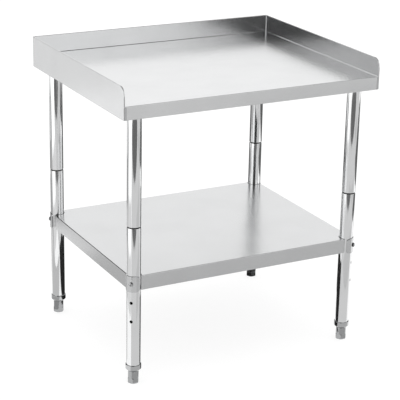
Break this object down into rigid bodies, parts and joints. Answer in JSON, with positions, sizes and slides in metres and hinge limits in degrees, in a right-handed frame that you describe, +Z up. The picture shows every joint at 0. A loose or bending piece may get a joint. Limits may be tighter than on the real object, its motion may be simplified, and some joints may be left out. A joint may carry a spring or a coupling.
{
  "type": "stainless work table",
  "caption": "Freestanding stainless work table with side and rear upstands, an undershelf clamped to jointed tubular legs, and screw-adjustable levelling feet.",
  "frame": {"origin": "on the floor under the middle of the table, with the levelling feet screwed fully in", "axes": "+Z up, the open front edge faces -Y, the rear upstand is at +Y, +X runs to the right seen from the front"},
  "size_m": [0.762, 0.61, 0.832],
  "materials": {
    "worktop_steel": "fine brushed, satin",
    "shelf_steel": "fine brushed, satin",
    "channel_steel": "plain mill finish",
    "tube_steel": "polished",
    "bracket_steel": "polished",
    "socket_steel": "turned",
    "foot_steel": "turned and milled, bright",
    "fastener_steel": "bright"
  },
  "bodies": {
    "table_frame": {"worktop": "worktop_steel", "top_channel_left": "channel_steel", "top_channel_right": "channel_steel", "top_channel_cross": "channel_steel", "undershelf": "shelf_steel", "shelf_channel": "channel_steel", "leg_socket_fl": "socket_steel", "leg_socket_fr": "socket_steel", "leg_socket_rl": "socket_steel", "leg_socket_rr": "socket_steel", "socket_set_screw_fl": "fastener_steel", "socket_set_screw_fr": "fastener_steel", "socket_set_screw_rl": "fastener_steel", "socket_set_screw_rr": "fastener_steel", "upper_leg_tube_fl": "tube_steel", "upper_leg_tube_fr": "tube_steel", "upper_leg_tube_rl": "tube_steel", "upper_leg_tube_rr": "tube_steel", "leg_coupler_fl": "socket_steel", "leg_coupler_fr": "socket_steel", "leg_coupler_rl": "socket_steel", "leg_coupler_rr": "socket_steel", "lower_leg_tube_fl": "tube_steel", "lower_leg_tube_fr": "tube_steel", "lower_leg_tube_rl": "tube_steel", "lower_leg_tube_rr": "tube_steel", "foot_insert_fl": "foot_steel", "foot_insert_fr": "foot_steel", "foot_insert_rl": "foot_steel", "foot_insert_rr": "foot_steel", "clamp_plate_fl": "bracket_steel", "clamp_plate_fr": "bracket_steel", "clamp_plate_rl": "bracket_steel", "clamp_plate_rr": "bracket_steel", "shelf_saddle_fl": "bracket_steel", "shelf_saddle_fr": "bracket_steel", "shelf_saddle_rl": "bracket_steel", "shelf_saddle_rr": "bracket_steel", "shelf_screw_fl": "fastener_steel", "shelf_screw_fr": "fastener_steel", "shelf_screw_rl": "fastener_steel", "shelf_screw_rr": "fastener_steel", "shelf_nut_fl": "fastener_steel", "shelf_nut_fr": "fastener_steel", "shelf_nut_rl": "fastener_steel", "shelf_nut_rr": "fastener_steel"},
    "foot_fl": {"levelling_foot_fl": "foot_steel"},
    "foot_fr": {"levelling_foot_fr": "foot_steel"},
    "foot_rl": {"levelling_foot_rl": "foot_steel"},
    "foot_rr": {"levelling_foot_rr": "foot_steel"}
  },
  "joints": [
    {"name": "foot_fl_levelling", "type": "slide", "parent": "table_frame", "child": "foot_fl", "axis": [0, 0, -1], "range_m": [0, 0.025]},
    {"name": "foot_fr_levelling", "type": "slide", "parent": "table_frame", "child": "foot_fr", "axis": [0, 0, -1], "range_m": [0, 0.025]},
    {"name": "foot_rl_levelling", "type": "slide", "parent": "table_frame", "child": "foot_rl", "axis": [0, 0, -1], "range_m": [0, 0.025]},
    {"name": "foot_rr_levelling", "type": "slide", "parent": "table_frame", "child": "foot_rr", "axis": [0, 0, -1], "range_m": [0, 0.025]}
  ]
}
